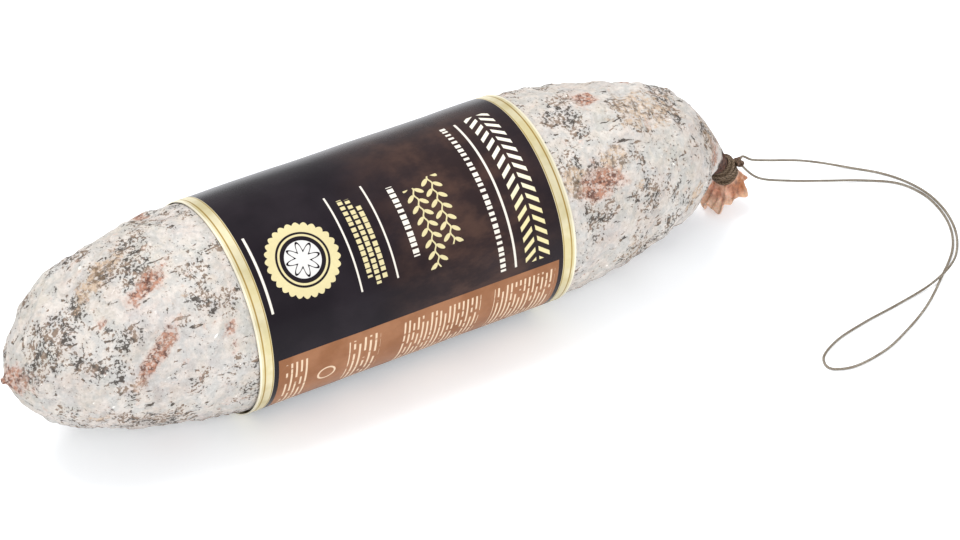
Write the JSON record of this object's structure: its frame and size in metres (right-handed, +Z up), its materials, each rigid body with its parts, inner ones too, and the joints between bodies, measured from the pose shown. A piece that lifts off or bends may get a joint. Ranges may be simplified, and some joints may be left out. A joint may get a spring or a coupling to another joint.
{
  "type": "cured sausage",
  "caption": "Whole dry-cured sausage with white mould bloom, a glossy printed paper band, a twine-tied neck and a long hanging loop of string.",
  "frame": {"origin": "centre of the flat underside of the paper band, which the sausage rests on", "axes": "+X along the sausage towards the tied end, +Z up from the table, +Y to the left when looking along +X"},
  "size_m": [0.296, 0.116, 0.0623],
  "materials": {
    "moulded_casing": "dry, powdery white mould over a wrinkled natural casing, red-brown where it is bare",
    "printed_band": "glossy black laminated paper with pale gold foil and a copper panel",
    "tie_twine": "dark, grease-stained twisted twine",
    "loop_string": "thin grey-brown twisted string"
  },
  "bodies": {
    "root": {"salami_body": "moulded_casing", "label_band": "printed_band", "neck_tie": "tie_twine", "tie_knot": "tie_twine", "hanging_loop": "loop_string"}
  },
  "joints": []
}
